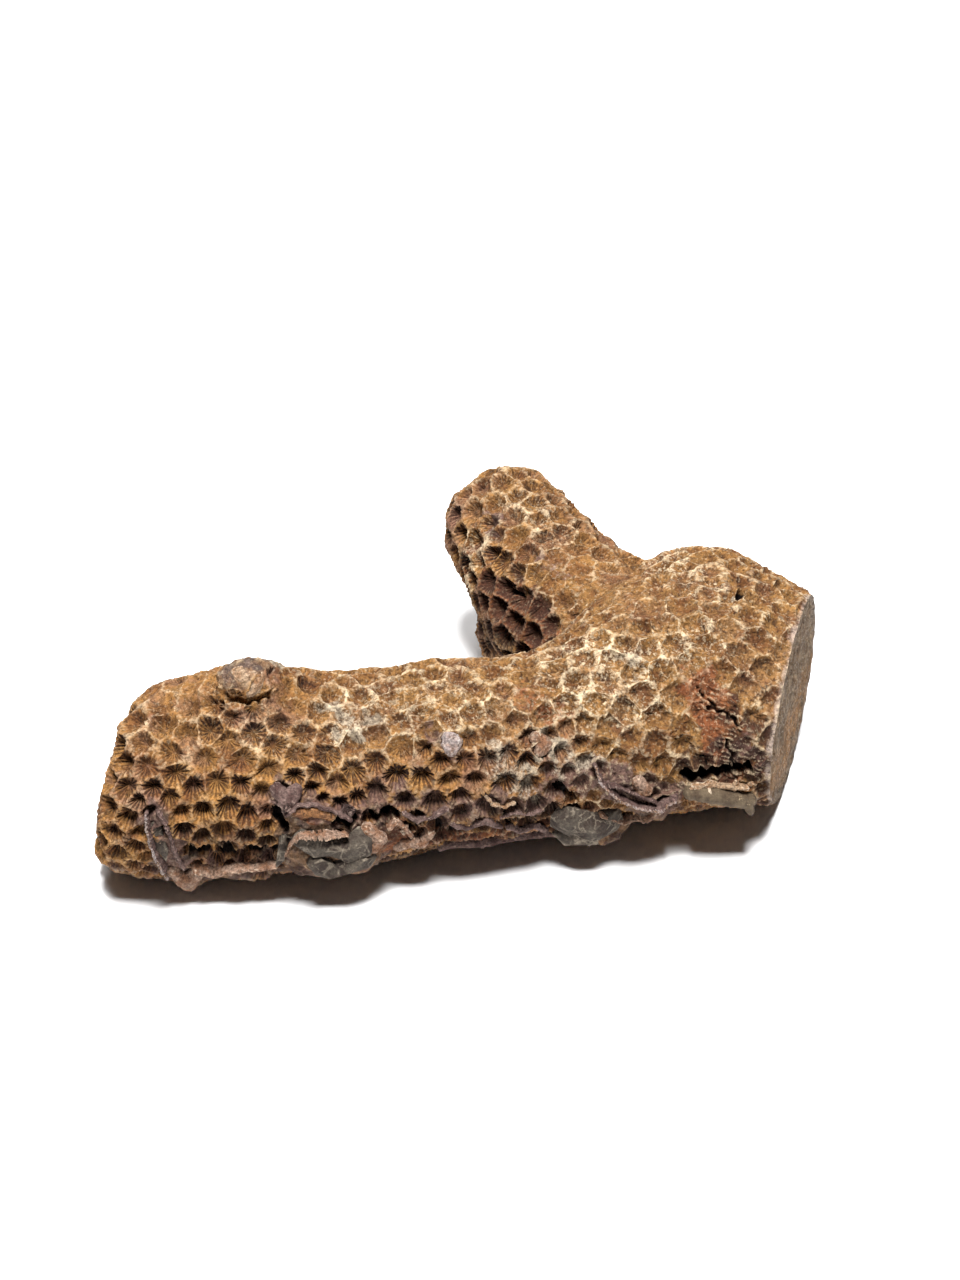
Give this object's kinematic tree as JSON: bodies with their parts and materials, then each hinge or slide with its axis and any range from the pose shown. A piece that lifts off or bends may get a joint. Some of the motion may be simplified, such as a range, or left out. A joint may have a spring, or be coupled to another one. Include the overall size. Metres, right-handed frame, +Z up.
{
  "type": "branching fossil coral",
  "caption": "Forked fossil coral fragment lying on its side, a thick trunk with a long and a short branch, covered in shallow many-sided cups.",
  "frame": {"origin": "middle of the underside of the bounding box, on the surface the coral lies on", "axes": "+X along the long branch towards the trunk's broken end, +Y to the back, where the short branch points, +Z up"},
  "size_m": [0.1042, 0.0778, 0.0327],
  "materials": {
    "coral_stone": "dry, rough, ochre stone with pale cup walls"
  },
  "bodies": {
    "root": {"trunk": "coral_stone", "long_branch": "coral_stone", "short_branch": "coral_stone"}
  },
  "joints": []
}
